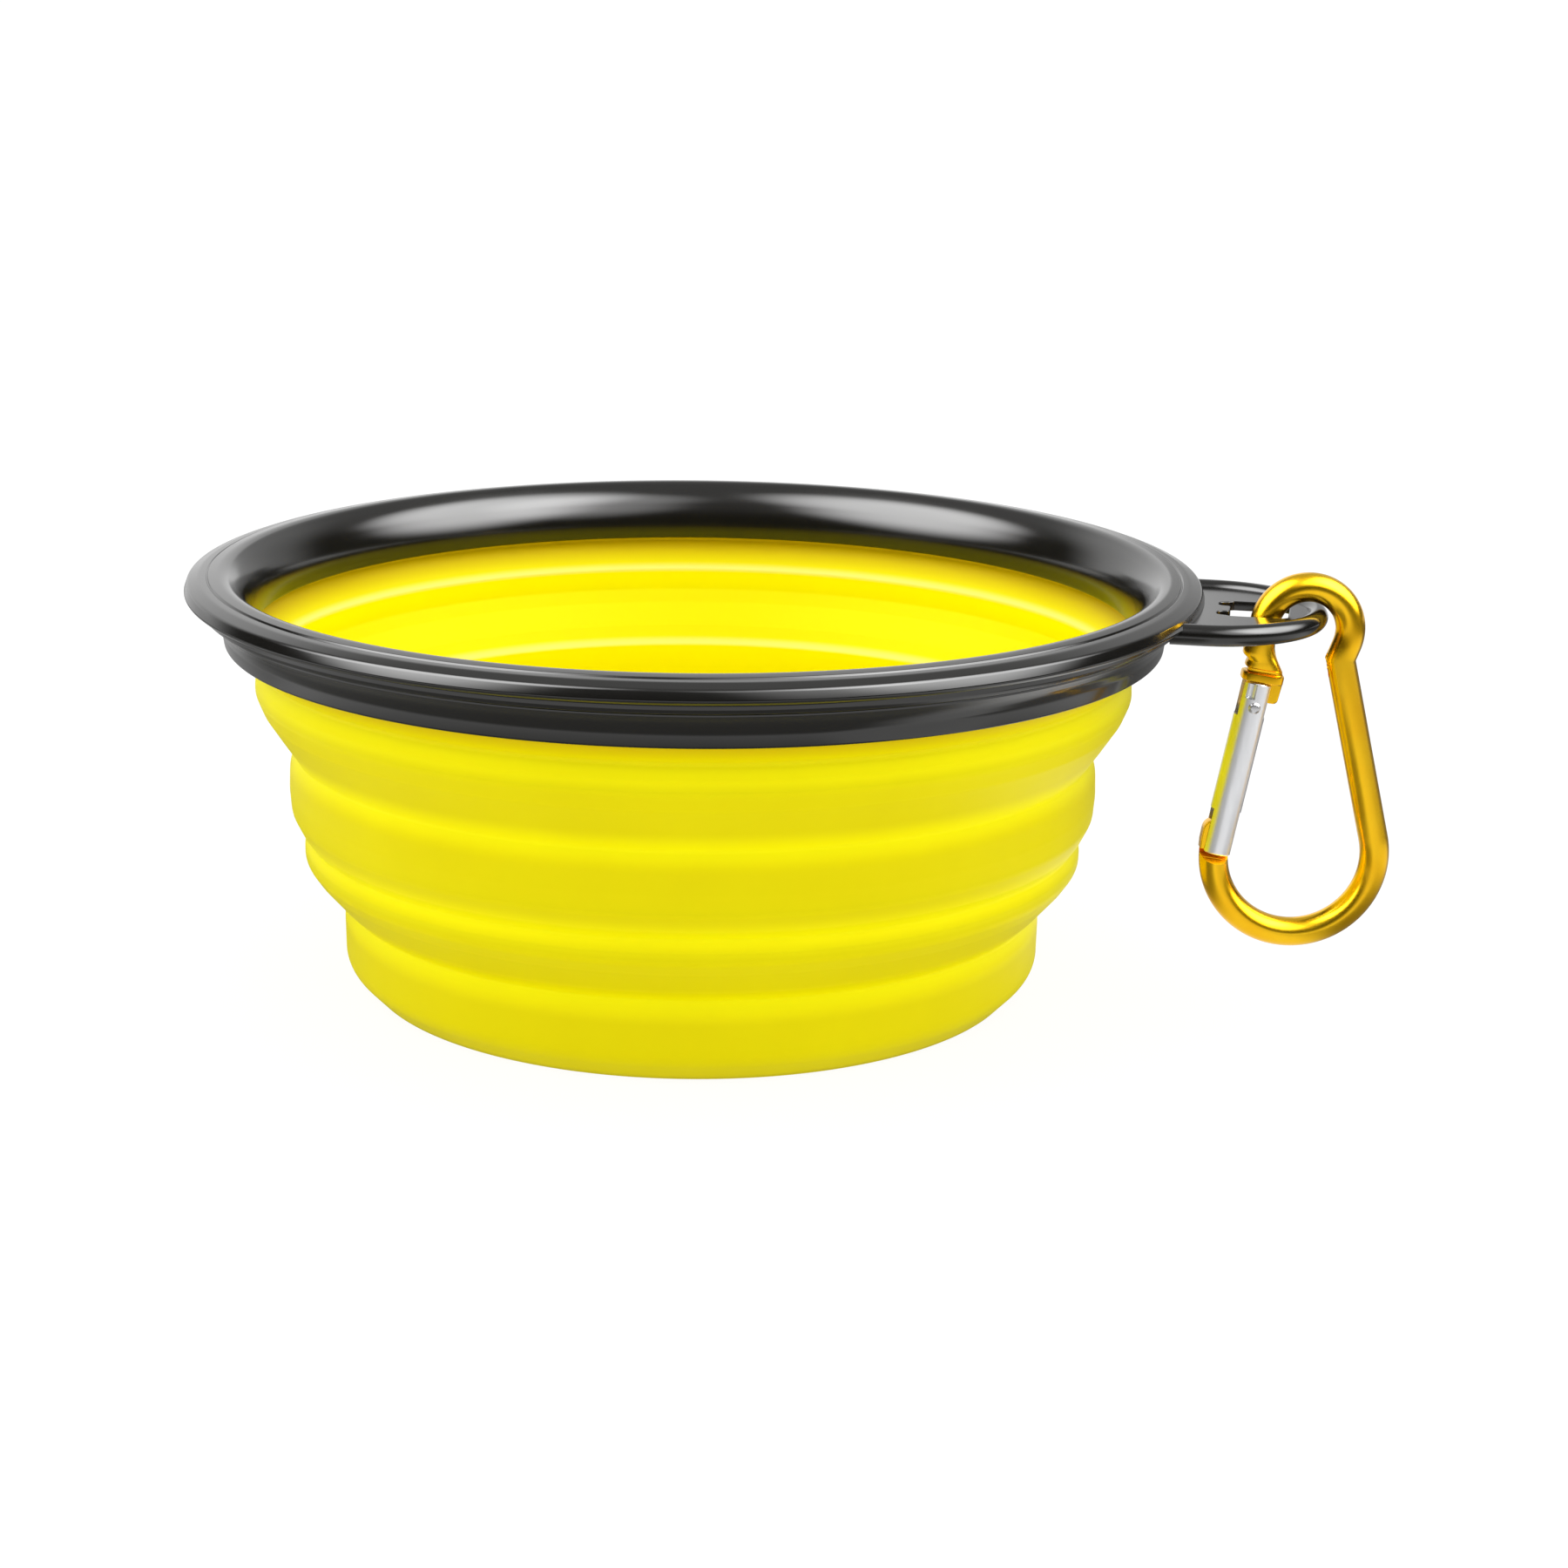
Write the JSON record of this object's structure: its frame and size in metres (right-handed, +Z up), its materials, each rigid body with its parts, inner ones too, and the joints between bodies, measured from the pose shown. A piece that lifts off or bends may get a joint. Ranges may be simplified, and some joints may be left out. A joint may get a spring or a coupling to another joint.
{
  "type": "collapsible pet bowl",
  "caption": "Round folding silicone bowl in a glossy plastic rim, with a slotted hanging loop and a small snap carabiner.",
  "frame": {"origin": "centre of the bowl's foot, on the surface it stands on", "axes": "+Z up along the bowl's axis, -Y towards the viewer of the picture, +X towards the loop and carabiner"},
  "size_m": [0.1529, 0.13, 0.0573],
  "materials": {
    "rim_plastic": "gloss",
    "cup_silicone": "satin",
    "gold_aluminium": "anodised gloss",
    "bare_aluminium": "satin",
    "pin_steel": "satin"
  },
  "bodies": {
    "rim": {"rim_top_ring": "rim_plastic", "skirt_ring": "rim_plastic", "hang_loop": "rim_plastic", "cup_edge": "cup_silicone"},
    "upper": {"fold_one": "cup_silicone", "upper_band": "cup_silicone"},
    "middle": {"fold_two": "cup_silicone", "middle_band": "cup_silicone"},
    "lower": {"fold_three": "cup_silicone", "lower_band": "cup_silicone"},
    "base": {"fold_four": "cup_silicone", "base_cup": "cup_silicone"},
    "carabiner": {"carabiner_frame": "gold_aluminium", "hinge_rivet": "pin_steel"},
    "gate": {"carabiner_gate": "bare_aluminium", "latch_pin": "pin_steel", "push_rod": "pin_steel", "gate_spring": "pin_steel"}
  },
  "joints": [
    {"name": "upper_travel", "type": "slide", "parent": "rim", "child": "upper", "axis": [0, 0, 1], "range_m": [0, 0.003], "deforming": ["fold_one"]},
    {"name": "middle_travel", "type": "slide", "parent": "upper", "child": "middle", "axis": [0, 0, 1], "range_m": [0, 0.0156], "deforming": ["fold_two"]},
    {"name": "lower_travel", "type": "slide", "parent": "middle", "child": "lower", "axis": [0, 0, 1], "range_m": [0, 0.0056], "deforming": ["fold_three"]},
    {"name": "base_travel", "type": "slide", "parent": "lower", "child": "base", "axis": [0, 0, 1], "range_m": [0, 0.0128], "deforming": ["fold_four"]},
    {"name": "carabiner_swing", "type": "hinge", "parent": "rim", "child": "carabiner", "pos_m": [0.07597, -0.0164, 0.05008], "axis": [0, -1, 0], "range_deg": [-25, 110]},
    {"name": "gate_hinge", "type": "hinge", "parent": "carabiner", "child": "gate", "pos_m": [0.06646, -0.0164, 0.02335], "axis": [0, 1, 0], "range_deg": [0, 22], "stiffness_Nm_per_rad": 0.004, "springref_deg": -28.65}
  ],
  "couplings": [
    {"joint": "upper_travel", "follows": "base_travel", "ratio": 0.23438},
    {"joint": "middle_travel", "follows": "base_travel", "ratio": 1.2188},
    {"joint": "lower_travel", "follows": "base_travel", "ratio": 0.4375}
  ]
}
